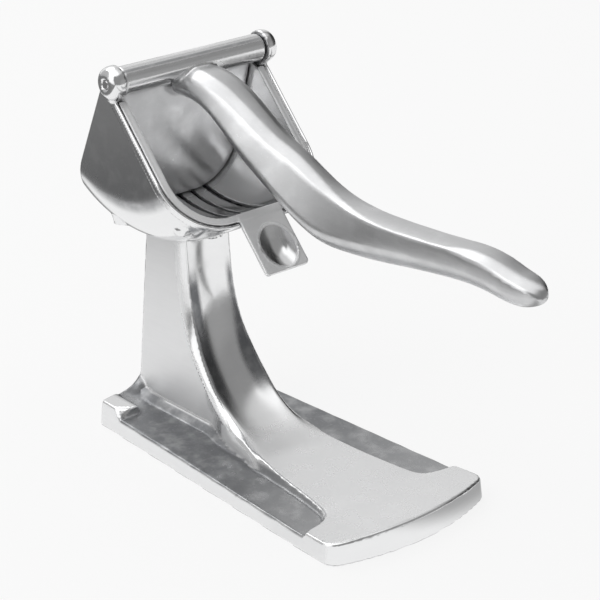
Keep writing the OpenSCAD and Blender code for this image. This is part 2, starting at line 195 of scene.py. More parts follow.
# %% Find the crossed cells and their points
def net(field, low, high, step):
    """One point in every crossed cell, and a face across every crossed edge."""
    low = np.array(low, float)
    count = tuple(int(math.ceil((h - a) / step)) + 1 for a, h in zip(low, high))
    value = sample(field, low, count, step)
    inside = value < 0
    cells = tuple(c - 1 for c in count)
    filled = sum(
        inside[a:a + cells[0], b:b + cells[1], c:c + cells[2]].astype(np.int8) for a, b, c in CORNERS
    )
    crossed = np.argwhere((filled > 0) & (filled < 8))
    number = np.full(cells, -1, np.int32)
    number[tuple(crossed.T)] = np.arange(len(crossed))
    corner = [value[tuple((crossed + c).T)] for c in CORNERS]
    total, hits = np.zeros((len(crossed), 3)), np.zeros(len(crossed))
    for a, b in EDGES:
        cut = (corner[a] < 0) != (corner[b] < 0)
        t = np.where(cut, corner[a] / np.where(cut, corner[a] - corner[b], 1), 0)
        total += cut[:, None] * (CORNERS[a] + t[:, None] * (CORNERS[b] - CORNERS[a]))
        hits += cut
    points = low + step * (crossed + total / hits[:, None])
    quads = []
    for axis in range(3):
        u, v = (axis + 1) % 3, (axis + 2) % 3
        first = [slice(0, c) for c in count]
        second = list(first)
        first[axis], second[axis] = slice(0, count[axis] - 1), slice(1, count[axis])
        leaves = inside[tuple(first)] & ~inside[tuple(second)]
        enters = ~inside[tuple(first)] & inside[tuple(second)]
        for change, order in ((leaves, (0, 1, 2, 3)), (enters, (3, 2, 1, 0))):
            at = np.argwhere(change)
            at = at[(at[:, u] > 0) & (at[:, v] > 0) & (at[:, u] < cells[u]) & (at[:, v] < cells[v])]
            ring = []
            for du, dv in ((-1, -1), (0, -1), (0, 0), (-1, 0)):
                c = at.copy()
                c[:, u] += du
                c[:, v] += dv
                ring.append(number[tuple(c.T)])
            quads.append(np.stack([ring[k] for k in order], 1))
    return points, np.concatenate(quads)


ball = net(lambda x, y, z: np.sqrt(x * x + y * y + z * z) - 5, (-6, -6, -6), (6, 6, 6), 1.0)
print("a ball of 5 mm gets", len(ball[0]), "points and", len(ball[1]), "faces")


# %% Relax the net along the surface
def relax(points, quads, share):
    """Each point moves a share of the way to the middle of its neighbours."""
    a, b = quads.ravel(), np.roll(quads, -1, 1).ravel()
    n = len(points)
    near = np.bincount(a, minlength=n) + np.bincount(b, minlength=n)
    mean = np.stack([
        np.bincount(a, points[b, i], n) + np.bincount(b, points[a, i], n) for i in range(3)
    ], 1) / np.maximum(near, 1)[:, None]
    return points + share * (mean - points)


radius = np.linalg.norm(relax(*ball, 0.5), axis=1).mean()
print("relaxing alone shrinks the ball to", round(float(radius), 2), "mm")


# %% Build the object
def plain_mesh(name, points, quads, normals):
    """An object in metres, with the field's own normals."""
    mesh = bpy.data.meshes.new(name)
    mesh.vertices.add(len(points))
    mesh.vertices.foreach_set("co", (points / 1000).astype(np.float32).ravel())
    mesh.loops.add(quads.size)
    mesh.loops.foreach_set("vertex_index", quads.astype(np.int32).ravel())
    mesh.polygons.add(len(quads))
    mesh.polygons.foreach_set("loop_start", np.arange(0, quads.size, 4, dtype=np.int32))
    mesh.update(calc_edges=True)
    mesh.polygons.foreach_set("use_smooth", np.ones(len(quads), bool))
    mesh.normals_split_custom_set_from_vertices(normals.tolist())
    mesh.validate()
    piece = bpy.data.objects.new(name, mesh)
    bpy.context.scene.collection.objects.link(piece)
    return piece


def paint(casting, label, values):
    """A number at every point, for the materials to read."""
    layer = casting.piece.data.attributes.new(label, "FLOAT", "POINT")
    layer.data.foreach_set("value", np.clip(values, 0, 1).astype(np.float32))


def cast(name, field, low, high, step):
    """A mesh of the field between two corners, in millimetres."""
    step *= COARSE
    points, quads = net(field, low, high, step)
    points = settle(field, points, step, 4)
    for _ in range(3):
        points = settle(field, relax(points, quads, 0.5), step, 2)
    g = slope_of(field, points)
    normals = g / np.maximum(np.linalg.norm(g, axis=1), 1e-6)[:, None]
    piece = plain_mesh(name, points, quads, normals)
    off = np.abs(field(*points.T))
    print(f"{name}: {2 * len(quads)} triangles, off by {np.percentile(off, 99):.3f} mm")
    return SimpleNamespace(piece=piece, field=field, points=points, normals=normals)


# %% [markdown]
# ## Measures about the hinge
# Trough, strainer and press plate all turn about the pin, so that the plate clears the trough's floor
# all the way. They could be drawn in upright coordinates, but then each needs its own sums. So one
# function turns a place into distances that belong to the hinge: round it, behind the slanted rim, down
# the rim, from the rear wall, and from the press plate's face. A bowl or a rim is then one line.

# %% Distances from the hinge
HINGE_Y, HINGE_Z = 55.6, 167.5
RIM, BACK, PLATE = (math.radians(a) for a in (42.4, 24.5, 15.5))


def about_hinge(y, z):
    """A place as distances from the hinge, and its turn about it."""
    dy, dz = y - HINGE_Y, z - HINGE_Z
    return SimpleNamespace(
        ring=np.hypot(dy, dz),
        behind_rim=dy * math.cos(RIM) - dz * math.sin(RIM),
        down_rim=-dy * math.sin(RIM) - dz * math.cos(RIM),
        back=dy * math.cos(BACK) + dz * math.sin(BACK),
        down_back=dy * math.sin(BACK) - dz * math.cos(BACK),
        face=dy * math.cos(PLATE) + dz * math.sin(PLATE),
        turn=np.degrees(np.arctan2(dy, -dz)),
    )


print("hinge", HINGE_Y, "mm back and", HINGE_Z, "mm up")


# %% Bowls and rims
# ring radius, half width, lower corner, rear wall, rounding of the rear edge
TROUGH_OUT, TROUGH_IN = (72.6, 40, 25, 8.3, 3), (70.2, 37.6, 22.6, 5.9, 2)
WALL_MIDDLE, WALL_INNER = (71.4, 38.8, 23.8, 7.1, 2), (71, 38.4, 23.4, 6.7, 2)
STRAINER_OUT, STRAINER_IN = (69.8, 37.2, 22.2, 5.6, 1.8), (68.2, 35.6, 20.6, 4.0, 1.2)
# half width, reach down the rim, lower corner
RIM_EDGE, SEAT_EDGE, FLANGE_EDGE = (41.4, 73.3, 26.4), (39.6, 71.5, 24.6), (39.4, 71.3, 24.4)


def bowl(h, ax, ring, half, corner, back, soft):
    """A solid that turns about the hinge, with a flat rear wall."""
    return keep(keep(h.ring - ring, ax - half, corner), h.back - back, soft)


def rim_shape(h, ax, half, reach, corner):
    """The rim's outline: two straight legs and two round lower corners."""
    return keep(ax - half, h.down_rim - reach, corner)


print("trough wall:", round(TROUGH_OUT[0] - TROUGH_IN[0], 2), "mm")

# %% [markdown]
# ## The base and the post
# The base is a flat plate with tapered sides, a bowed front and two pads at the rear corners. A thin
# apron rises from its front edge, narrows between two ridges, and sweeps up into the front of the post.
# Behind it a flat web carries the load down. Extruded outlines could make the plate, but not the sweep
# into the post. All of it is one pour, so it is one field. The front of the post is a curve of place
# against height, and the apron's are curves of height against place.

# %% Curves of the post and the apron
post_y, post_lean = smooth_curve([
    (104, 47), (91, 46), (78, 45), (65, 43), (52, 39), (40, 32.5), (30, 24.8), (21.6, 15.4),
    (17, 7.6), (14.4, 1), (12.4, -8), (11, -17), (10, -27), (9, -40), (7, -75),
])
post_half, _ = smooth_curve([
    (104, 8.8), (78, 8.8), (65, 8.9), (52, 9.4), (40, 10.6), (30, 11.9), (21.6, 13.1), (17, 14),
    (14.4, 15), (12.4, 17.2), (11, 19), (10, 20.8), (9, 23), (7, 26),
], stepped=True)
hollow_depth, _ = smooth_curve([
    (7, 0.1), (11, 0.3), (14.4, 1), (21.6, 1.8), (32, 2.3), (50, 2.5), (104, 2.5),
])
apron_half, apron_flare = smooth_curve([
    (20, 11), (4, 14.2), (-8, 17.4), (-23, 20), (-38, 22), (-50, 24), (-57, 25.8), (-60.5, 28.4),
    (-62.6, 33.5), (-64, 41), (-65.4, 46), (-95, 48),
], stepped=True)
apron_edge, _ = smooth_curve([
    (20, 17), (4, 14.4), (-8, 12.2), (-23, 10.4), (-38, 9.6), (-50, 9.1), (-62, 8.6), (-70, 8.6),
    (-84, 9.4), (-95, 9.9),
])
apron_middle, _ = smooth_curve([
    (20, 14), (4, 12.4), (-8, 11.3), (-23, 10.3), (-38, 9.9), (-50, 9.9), (-62, 10), (-74, 10.4),
    (-90, 11.2), (-95, 11.4),
])
print("post front at 60 mm up:", round(float(post_y(60)), 1), "mm")


# %% The base plate
BASE_LENGTH, FRONT_HALF, REAR_HALF = 164, 45, 36
FRONT_BOW_Y, FRONT_BOW = 24, 114
REAR_BOW_Y, REAR_BOW = -132.5, 217.5
DRAFT, REAR_DRAFT = 0.1, 0.03
TOP_FRONT_Y, TOP_LONG, TOP_START, TOP_RISE = -64, 146, 6.7, 1.1
SWEEP_Y, SWEEP_LONG, SWEEP_RISE = 69, 14, 3.8
PAD_TOP, PAD_INSIDE, PAD_FRONT = 11.9, 25.7, 66.4


def base_outline(x, ax, y, z):
    """The plate's outline. Its sides lean in a little as they rise, so that it leaves the mould."""
    half = FRONT_HALF - (y + BASE_LENGTH / 2) * ((FRONT_HALF - REAR_HALF) / BASE_LENGTH)
    side = (ax - half) + DRAFT * z
    front = np.hypot(x, y - FRONT_BOW_Y) - FRONT_BOW + DRAFT * z
    rear = np.hypot(x, y - REAR_BOW_Y) - REAR_BOW + REAR_DRAFT * z
    return keep(keep(side, front, 5), rear, 1.5)


def base_plate(ax, y, z):
    """The plate's top, which sweeps up at the rear, and two rear pads with slanted front faces."""
    top = TOP_START + TOP_RISE * (y - TOP_FRONT_Y) / TOP_LONG
    top = top + SWEEP_RISE * np.clip((y - SWEEP_Y) / SWEEP_LONG, 0, 1) ** 2
    above = z - PAD_TOP
    pad = keep(above, (PAD_INSIDE - ax) * 0.94 + above * 0.3, 0.9)
    slant = (0.671 * (ax - 29.9) - 0.741 * (y - 66.2) + 0.81 * above) / 1.29
    pad = keep(pad, keep(slant, PAD_FRONT - y, 0.8), 0.9)
    return join(z - top, pad, 1)


print("base:", BASE_LENGTH, "mm long,", 2 * FRONT_HALF, "mm wide in front")


# %% The apron and the post
WEB_HALF, REAR_FACE, REAR_LEAN = 11.6, 85.2, 0.1122
SLANT_OUT, SLANT_IN = 0.866, 0.5


def apron_field(ax, y, z):
    """The raised front, a little hollow between two ridges."""
    edge, middle, wide = apron_edge(y), apron_middle(y), apron_half(y)
    top = middle + (edge - middle) * np.minimum(ax / wide, 1.1) ** 2
    flank = (ax - wide - 0.9 * (edge - z)) / np.sqrt(1.8 + apron_flare(y) ** 2)
    return keep(z - top, flank, 0.6)


def post_field(x, ax, y, z):
    """Two ridges with a hollow between them, a slanted facet outside each, and a web behind."""
    lean = np.sqrt(1 + post_lean(z) ** 2)
    inward = (y - post_y(z)) / lean
    level = np.maximum(z, apron_edge(np.minimum(y, 20)))
    wide = post_half(level)
    shoulder = 2.8 + 2 * ease(level, 15, 45)
    ridge = wide + 0.7 * shoulder * ease(level, 12, 30)
    taper = ease(y - post_y(level), 9 + 20 * ease(level, 34, 12), 5)
    flank = (ax - WEB_HALF - (wide + 1.25 * shoulder - WEB_HALF) * taper) * 0.8
    facet = (SLANT_OUT * (ax - ridge) - SLANT_IN * (y - post_y(z))) / lean
    post = keep(-inward, keep(flank, facet, 1.5), 0.8)
    post = keep(post, hollow_depth(z) * (1 - (x / ridge) ** 2) - inward, 0.7)
    return keep(post, (y - REAR_FACE + REAR_LEAN * z) * 0.994, 1)


print("web:", 2 * WEB_HALF, "mm thick")


# %% The foot's field
def foot_field(x, y, z):
    ax = np.abs(x)
    plate = base_plate(ax, y, z)
    # the apron takes over from the post in front
    front_part = ease(y, 0, -16)
    skin = apron_field(ax, y, z) * front_part + post_field(x, ax, y, z) * (1 - front_part)
    # the post's top ends within the trough's wall
    skin = carve(skin, bowl(about_hinge(y, z), ax, *WALL_MIDDLE), 0.1)
    # a flat strip along the web's foot, and a hollow sweep at the rear edge
    strip = bridge(plate, skin, 0.4 + 3 * ease(y, 0, 36), 0.4)
    sweep = join(plate, skin, 0.8 + 7.2 * ease(y, 74, 82))
    body = keep(np.minimum(strip, sweep), base_outline(x, ax, y, z), 1.1)
    return keep(body, -z, 0.6)


foot = cast("stand_foot", foot_field, (-48, -94, -2), (48, 88, 103), 1.12)

# %% [markdown]
# ## The trough, its rim and the ears
# The trough is an open bowl with a thick rim, and the strainer's flange lies in a seat in that rim. The
# ears that hold the pin are round knobs on the rim's upper ends, each with a small dimple round the
# pin's end. Two small bosses stand out under each side, and a short lip leads the juice down. These
# could be separate meshes joined with booleans, but the casting runs from one into the next, so they
# are terms of one field again: first what is solid, then what is cut out of it.

# %% The solid trough
SHELL_FRONT, RIM_FRONT, RIM_REAR, SEAT_FLOOR = 5, 4.1, 7.6, 5.8
EAR_RADIUS, EAR_INSIDE, EAR_MIDDLE, EAR_REACH = 7.2, 38, 39, 6
BOSS_X, BOSS_RADIUS, BOSSES = 31, 2.8, ((11.5, 1.5), (-31, 1.2))
DRAIN_Y, DRAIN_RADIUS, LIP_RADIUS, LIP_LOW, LIP_HIGH = 43.2, 3.4, 4.8, 93.4, 97.2
CAST_FILLET, EAR_TO_MM, BOSS_ROOT, DRAIN_TOP = 2.2, 6.5, 2, 101


def under_floor(across, along):
    """How high the trough's underside is at a place across and along from the hinge."""
    ring, half, corner = TROUGH_OUT[:3]
    reach = ring - corner + math.sqrt(corner ** 2 - (across - half + corner) ** 2)
    return HINGE_Z - math.sqrt(reach ** 2 - along ** 2)


def trough_solid(x, ax, y, z, h):
    shell = keep(bowl(h, ax, *TROUGH_OUT), SHELL_FRONT - h.behind_rim, 0.3)
    shell = keep(shell, -h.down_back, 1)
    band = keep(rim_shape(h, ax, *RIM_EDGE), RIM_FRONT - h.behind_rim, 0.7)
    band = keep(keep(band, h.behind_rim - RIM_REAR, 0.7), -h.down_rim, 1)
    out = np.maximum(ax - EAR_MIDDLE, 0) / EAR_REACH
    bulge = ((h.ring / EAR_RADIUS) ** 3 + out ** 3) ** (1 / 3)
    ear = keep(EAR_TO_MM * (bulge - 1), EAR_INSIDE - ax, 0.9)
    solid = join(join(shell, band, 0.8), ear, CAST_FILLET)
    for along, drop in BOSSES:
        low = under_floor(BOSS_X, along)
        boss = np.hypot(ax - BOSS_X, y - HINGE_Y - along) - BOSS_RADIUS
        boss = keep(keep(boss, low - drop - z, 0.9), z - low - BOSS_ROOT, 0.3)
        solid = join(solid, boss, CAST_FILLET)
    lip = keep(np.hypot(x, y - DRAIN_Y) - LIP_RADIUS, np.maximum(LIP_LOW - z, z - LIP_HIGH), 0.5)
    return join(solid, lip, 0.9)


print("underside at the bosses:", [round(under_floor(BOSS_X, along), 1) for along, _ in BOSSES], "mm up")

# %% The trough's field, with all its cuts
BARREL_ROOM, BARREL_ROOM_HALF, EAR_BORE = 6.6, 38, 2.03
NOTCH_HALF, NOTCH_FROM, SEAT_FROM = 12, 60, 7
DIMPLE_X, DIMPLE_RADIUS = 47.6, 4


def trough_field(x, y, z):
    ax, h = np.abs(x), about_hinge(y, z)
    solid = carve(trough_solid(x, ax, y, z, h), bowl(h, ax, *TROUGH_IN), 0.4)
    seat_floor = h.behind_rim - SEAT_FLOOR
    seat = keep(rim_shape(h, ax, *SEAT_EDGE), np.maximum(seat_floor, SEAT_FROM - h.down_rim), 0.1)
    solid = carve(solid, seat, 0.25)
    notch = keep(keep(ax - NOTCH_HALF, seat_floor, 0.2), NOTCH_FROM - h.down_rim, 0.2)
    solid = carve(solid, notch, 0.3)
    solid = carve(solid, keep(h.ring - BARREL_ROOM, ax - BARREL_ROOM_HALF, 0.2), 0.4)
    solid = carve(solid, np.maximum(np.hypot(x, y - DRAIN_Y) - DRAIN_RADIUS, z - DRAIN_TOP), 0.4)
    solid = carve(solid, np.sqrt(h.ring ** 2 + (ax - DIMPLE_X) ** 2) - DIMPLE_RADIUS, 0.4)
    return carve(solid, h.ring - EAR_BORE, 0.15)


trough = cast("stand_trough", trough_field, (-47, 2, 88), (47, 106, 177), 1.0)

# %% [markdown]
# ## The strainer
# The strainer is a thinner casting that lies in the trough on its flange. Seven slits in its floor let
# the juice through, and a tongue with a hollow for the thumb lifts it out. Geometry Nodes could repeat a
# cutter and take it away with a boolean, but that leaves knife edges where the real slits are worn
# round. So the slits are in the field too: they repeat at one pitch, and the width is folded onto one.

# %% The thumb hollow and the slits
FLANGE_MIDDLE, FLANGE_HALF = 4.6, 0.9
FLANGE_FRONT = FLANGE_MIDDLE - FLANGE_HALF
THUMB_X, THUMB_DOWN, THUMB_HALF, THUMB_LONG, THUMB_DEPTH = 0.9, 86, 9, 10.2, 2.3
SLIT_PITCH, SLIT_HALF, SLITS_A_SIDE = 7.2, 1, 3
SLIT_MIDDLE, SLIT_TURN, MM_A_DEGREE, FLOOR_FROM = -0.5, 18.5, 1.15, 46


def thumb_hollow(x, h):
    """The dished wall under the thumb, and the room above it."""
    behind = h.behind_rim - FLANGE_FRONT
    u, v = (x - THUMB_X) / THUMB_HALF, (h.down_rim - THUMB_DOWN) / THUMB_LONG
    out = np.sqrt(u * u + v * v) * THUMB_HALF - THUMB_HALF
    sink = THUMB_DEPTH * np.maximum(1 - u * u - v * v, -0.6)
    dish = keep(np.abs(behind - FLANGE_HALF - sink) - FLANGE_HALF, out - 0.3, 0.4)
    return dish, np.maximum(behind - sink, out)


def slits(x, h):
    """All the slits at once: every place is moved to the nearest slit's middle."""
    nearest = np.clip(np.round(x / SLIT_PITCH), -SLITS_A_SIDE, SLITS_A_SIDE)
    fold = np.abs(x - SLIT_PITCH * nearest) - SLIT_HALF
    reach = (np.abs(h.turn - SLIT_MIDDLE) - SLIT_TURN) * MM_A_DEGREE
    return keep(keep(fold, reach, 0.8), FLOOR_FROM - h.ring, 0.3)


print("slits:", 2 * SLITS_A_SIDE + 1, "of", 2 * SLIT_HALF, "mm")


# %% The strainer's field
TONGUE_HALF, TONGUE_FROM, TONGUE_END = 11.7, 58, 97.3
FLANGE_FROM, STRAINER_ROOM = 7.2, 6.7


def strainer_field(x, y, z):
    ax, h = np.abs(x), about_hinge(y, z)
    shell = keep(bowl(h, ax, *STRAINER_OUT), FLANGE_FRONT - h.behind_rim, 0.3)
    shell = keep(shell, FLANGE_FROM - h.down_back, 0.4)
    level = np.abs(h.behind_rim - FLANGE_MIDDLE) - FLANGE_HALF
    flange = keep(rim_shape(h, ax, *FLANGE_EDGE), FLANGE_FROM - h.down_rim, 0.6)
    flange = keep(flange, level, 0.6)
    tongue = keep(keep(ax - TONGUE_HALF, h.down_rim - TONGUE_END, 1.8), level, 0.6)
    tongue = keep(tongue, TONGUE_FROM - h.down_rim, 0.1)
    dish, hollow = thumb_hollow(x, h)
    solid = join(join(shell, flange, 0.3), join(tongue, dish, 0.6), 0.8)
    solid = carve(solid, hollow, 0.45)
    solid = carve(solid, bowl(h, ax, *STRAINER_IN), 0.5)
    solid = carve(solid, keep(h.ring - STRAINER_ROOM, ax - BARREL_ROOM_HALF, 0.2), 0.3)
    return carve(solid, slits(x, h), 0.3)


strainer = cast("strainer_casting", strainer_field, (-41, -14, 88), (41, 96, 168), 0.66)

# %% [markdown]
# ## The lever
# The lever is one long casting: a barrel for the pin, a heavy press plate under it, and an arm that
# drops in front of the trough and then reaches out level for the hand. The arm could be a curve with a
# profile, but its section changes all the way. So its middle line, width and height are splines along
# the press. Its top is flatter than its underside, each upper edge is cut to a slant, and hand grinding
# has left its left side leaning in near the hinge.

# %% Curves of the arm
# y, middle, half width, half height
ARM = (
    (66, 160.6, 10.4, 5.4), (57, 160.7, 10.6, 5.6), (48, 161.2, 11, 6.3), (38, 159.6, 11, 6.4),
    (30, 156.2, 10.9, 6.8), (17.5, 148.2, 10.7, 7.9), (8, 142, 10.3, 8.8), (0, 137.6, 10, 9.5),
    (-10, 132.7, 9.6, 10.6), (-20, 128, 9.3, 11.1), (-32, 123.9, 8.9, 11.2), (-45, 122.4, 8.4, 10.1),
    (-60, 122.5, 8, 9), (-80, 124.1, 7.6, 7.8), (-100, 125.9, 7.4, 7.1), (-115, 126.8, 7.3, 7.1),
    (-125, 126, 7.1, 6.9), (-135, 124.5, 6.6, 6.2), (-142, 124.4, 6, 5.4), (-150, 124.6, 5.2, 4.6),
)
(arm_mid, arm_lean), (arm_wide, _), (arm_high, _) = (
    smooth_curve([(row[0], row[i]) for row in ARM]) for i in (1, 2, 3)
)
TIP_FROM, TIP_END = -136.0, -147.8
across_bend, up_bend = (round(2 * float(half(-20)), 1) for half in (arm_wide, arm_high))
print("arm at the bend:", across_bend, "wide,", up_bend, "high")


# %% The arm's field
CROWN, BELLY, WAIST = 0.12, 0.34, 0.1
CUT_OUT, CUT_UP, CUT_DEPTH = 0.5, 0.866, 0.6


def arm_field(x, y, z):
    ax = np.abs(x)
    cosine = 1 / np.sqrt(1 + arm_lean(y) ** 2)
    past = np.maximum(TIP_FROM - y, 0) / (TIP_FROM - TIP_END)
    close = np.sqrt(np.clip(1 - past ** 2.6, 1e-4, 1))
    wide, high = arm_wide(y) * close, arm_high(y) * close
    up = (z - arm_mid(y)) * cosine
    a = ax / wide
    top = up - high * (1 - CROWN * a * a)
    low = -up - high * (1 - BELLY * a * a)
    # the left side leans in near the hinge, and its slanted cut is wide there and near the tip
    leaned = ease(y, -82, -6)
    lean_in = np.where(x < 0, 0.4 * leaned, 0) * np.maximum(up + 0.6 * high, 0)
    side = ax - wide * (1 - WAIST * (up / high) ** 2) + lean_in
    left_depth = CUT_DEPTH + (3.4 + 0.64 * high) * leaned + 3.5 * ease(y, -96, -116)
    right_depth = CUT_DEPTH + 3 * ease(y, -50, 20)
    left_cut = CUT_OUT * (-x - wide) + CUT_UP * (up - high) + CUT_OUT * left_depth
    right_cut = CUT_OUT * (x - wide) + CUT_UP * (up - high) + CUT_OUT * right_depth
    body = keep(keep(keep(top, left_cut, 0.8), right_cut, 1), side, np.minimum(0.8, 0.6 * high))
    return keep(body, low, np.minimum(0.62 * high, 5.5))


print("the arm's middle lies", round(-float(arm_field(0.0, -20.0, 128.0)), 1), "mm deep at the bend")


# %% The lever's field
BARREL_RADIUS, BARREL_HALF, BARREL_BORE = 6, 37.7, 2.05
PLATE_RADIUS, PLATE_HALF, PLATE_CORNER, PLATE_BACK = 67.6, 35, 20, 3.7
ARM_SUNK, ARM_REAR = 2.5, 56


def lever_field(x, y, z):
    ax, h = np.abs(x), about_hinge(y, z)
    barrel = keep(h.ring - BARREL_RADIUS, ax - BARREL_HALF, 1.3)
    plate = keep(h.ring - PLATE_RADIUS, ax - PLATE_HALF, PLATE_CORNER)
    plate = keep(plate, h.back - PLATE_BACK, 1)
    plate = keep(keep(plate, -h.face, 0.8), -h.down_back, 0.5)
    arm = keep(arm_field(x, y, z), np.maximum(h.face - ARM_SUNK, y - ARM_REAR), 0.5)
    solid = join(join(barrel, plate, 0.6), arm, 1.4)
    solid = keep(solid, h.back - BARREL_RADIUS, 0.1)
    return carve(solid, h.ring - BARREL_BORE, 0.1)


lever = cast("lever_casting", lever_field, (-40, -150, 99), (40, 92, 176), 1.0)

# %% [markdown]
# ## Nodes written as sums
# Metal and path-following pieces are both node trees. One small class wraps a socket, so that a sum such
# as `1 - mask` adds its Math node by itself, and one method makes any other node. It serves the shaders
# and the geometry trees alike.

# %% Sockets as values, and one method for any node
class Value:
    """An output socket that sums can be written with."""

    def __init__(self, sheet, socket):
        self.sheet, self.socket = sheet, socket

    def sum(self, kind, *others):
        return self.sheet.node("ShaderNodeMath", dict(enumerate((self,) + others)), operation=kind)

    def __add__(self, o): return self.sum("ADD", o)
    __radd__ = __add__
    def __sub__(self, o): return self.sum("SUBTRACT", o)
    def __rsub__(self, o): return self.sheet.node("ShaderNodeMath", {0: o, 1: self}, operation="SUBTRACT")
    def __mul__(self, o): return self.sum("MULTIPLY", o)
    __rmul__ = __mul__
    def __neg__(self): return self.sum("MULTIPLY", -1.0)

    def step(self, start, end, low=0.0, high=1.0):
        """low before start, high after end, smooth between."""
        given = {"Value": self, "From Min": start, "From Max": end, "To Min": low, "To Max": high}
        return self.sheet.node("ShaderNodeMapRange", given, interpolation_type="SMOOTHSTEP")

    def other(self, name):
        """Another output of the same node."""
        return Value(self.sheet, self.socket.node.outputs[name])


class Sheet:
    """A node tree, and the one method that adds any node to it."""

    def __init__(self, tree):
        self.tree = tree
        tree.nodes.clear()

    def node(self, kind, values=(), out=0, **settings):
        made = self.tree.nodes.new(kind)
        for name, value in settings.items():
            setattr(made, name, value)
        for name, value in dict(values).items():
            for one in value if isinstance(value, list) else [value]:
                if isinstance(one, Value):
                    self.tree.links.new(one.socket, made.inputs[name])
                else:
                    made.inputs[name].default_value = one
        return Value(self, made.outputs[out]) if len(made.outputs) else made


print("node sums ready")

# %% [markdown]
# ## Where the wheel reaches, and where shade is painted
# A buffing wheel brightens edges first and never gets into a corner, which stays rougher. Corners are also
# painted darker grey as painted shade. How tight a place is can be read from the fields: a step out of a
# flat wall moves as far from all metal as the step is long, but a step out of a corner stays near the other
# wall. The same step inwards finds edges. Both numbers are kept on the points, with a mask of the places
# that stay dull by design, some of which are also painted dark as painted shade and painted reflection.

# %% Paint corners, edges and dull places
STEP_OUT, STEP_IN = 4, 1.2


def all_metal(x, y, z):
    """The nearest surface of all the castings."""
    value = np.minimum(foot_field(x, y, z), trough_field(x, y, z))
    value = np.minimum(value, strainer_field(x, y, z))
    return np.minimum(value, lever_field(x, y, z))


def wear(casting, dull_and_painted_dark, no_corner_shade=0):
    """Paint the masks. The last argument is where a corner gets no painted shade."""
    points, normals = casting.points, casting.normals
    out = all_metal(*(points + STEP_OUT * normals).T) / STEP_OUT
    inner = -casting.field(*(points - STEP_IN * normals).T) / STEP_IN
    # the corner mask darkens tight places as painted shade, and makes them rougher
    paint(casting, "corner", (1 - out) * (1 - no_corner_shade))
    paint(casting, "edge", 1.15 - 1.4 * inner)
    paint(casting, "dull_and_painted_dark", dull_and_painted_dark)
    print(casting.piece.name, "corner share", round(float((out < 0.6).mean()), 3))


def holds(*limits):
    """A mask where every limit holds: each is (values, not at all here, fully there)."""
    share = 1.0
    for values, none, full in limits:
        share = share * ease(values, none, full)
    return share


# %% The foot: ground floor beside the apron, and the rough channel of the post, both also painted dark as painted dark reflection
x, y, z = foot.points.T
ax, up, forward = np.abs(x), foot.normals[:, 2], -foot.normals[:, 1]
apron_foot = np.minimum(apron_edge(y), 10.6)
# the plate beside the apron and the post's channel are painted dark: rough as-cast metal, and painted dark
# reflection
beside = holds((ax - apron_half(y), 0.1, 0.5), (up, 0.5, 0.66), (z, apron_foot - 0.2, apron_foot - 0.7))
beside *= ease(y, -75, 20) * 0.3 + 0.7
rear_sweep = holds((y, 62, 66), (up, 0.2, 0.5), (ax, 11.8, 12.4), (ax, 28, 26), (z, 22, 20))
across = ax / (post_half(z) + 2 + 1.4 * ease(z, 15, 45))
narrowed = across - 0.3 * ease(z, 35, 60) * (x > 0)
channel = holds((z, 20, 32), (z, 82, 70), (narrowed, 0.4, 0.6), (across, 1.0, 0.94), (forward, 0.2, 0.4))
dull_and_painted_dark = np.maximum(np.maximum(beside, rear_sweep), channel)
wear(foot, dull_and_painted_dark)
flat_side = ease(np.abs(foot.normals[:, 0]), 0.9, 0.98)
paint(foot, "matt", flat_side + 0.5 * holds((up, 0.7, 0.95), (apron_half(y) - ax, -1, 1)))

# %% The trough: cheeks painted dark, more towards the bottom, and the inside painted dark, as painted shade
x, y, z = trough.points.T
ax = np.abs(x)
cheek = holds((np.abs(trough.normals[:, 0]), 0.9, 0.99), (ax, 38, 39.5))
inside = bowl(about_hinge(y, z), ax, *WALL_INNER) < 0
near_bosses = holds((z, 108, 102), (ax, 22, 25))
# painted shade: the cheeks get darker towards the bottom, and the inside is dark
dull_and_painted_dark = np.maximum(cheek * (0.4 + 0.6 * ease(z + 0.3 * y, 180, 120)), inside)
wear(trough, dull_and_painted_dark, no_corner_shade=near_bosses)

# %% The strainer: a blasted flange
h = about_hinge(strainer.points[:, 1], strainer.points[:, 2])
flange = ease(h.behind_rim, 4.1, 3.8)
wear(strainer, flange)
paint(strainer, "matt", 0.7 * flange)

# %% The lever: a dull press plate, sides off the belt, and a rough streak along the barrel, painted dark as a painted dark reflection
x, y, z = lever.points.T
h = about_hinge(y, z)
press = 0.5 * holds((h.face, 1.2, 0.6), (h.ring, 6.4, 7.4))
linished = 0.2 * holds((np.abs(lever.normals[:, 0]), 0.7, 0.9), (h.ring, 9, 14))
from_streak = np.abs(np.degrees(np.arctan2(z - HINGE_Z, HINGE_Y - y)) - 53)
# a dark line painted along the barrel's upper front: painted dark reflection
streak = holds((from_streak, 10, 5), (h.ring, 6.6, 6.2), (z, 170, 171))
dull_and_painted_dark = np.maximum(np.maximum(press, linished), streak)
wear(lever, dull_and_painted_dark)

# %% [markdown]
# ## Finishes of bare metal
# Aluminium castings are ground, then buffed on a soft wheel. The buffing leaves the metal bright but
# never flat: it is a little wavy at the width of the wheel, finely scratched along the stroke, and duller
# in the corners, which are also painted grey as painted shade. So each finish has three scales: a wave and
# fine scratches in the bump, and cloudy patches in the roughness. Dull places, such as the strainer's
# flange, keep the grain of the blasting. On the foot, the trough and the lever's barrel their dark tone
# is also painted shade and painted dark reflection.

# %% Shared measures of a finish
def scaled(sheet, scale, turn=(0, 0, 0)):
    """Object coordinates, stretched for a pattern."""
    at = sheet.node("ShaderNodeTexCoord").other("Object")
    return sheet.node("ShaderNodeMapping", {"Vector": at, "Rotation": turn, "Scale": scale})


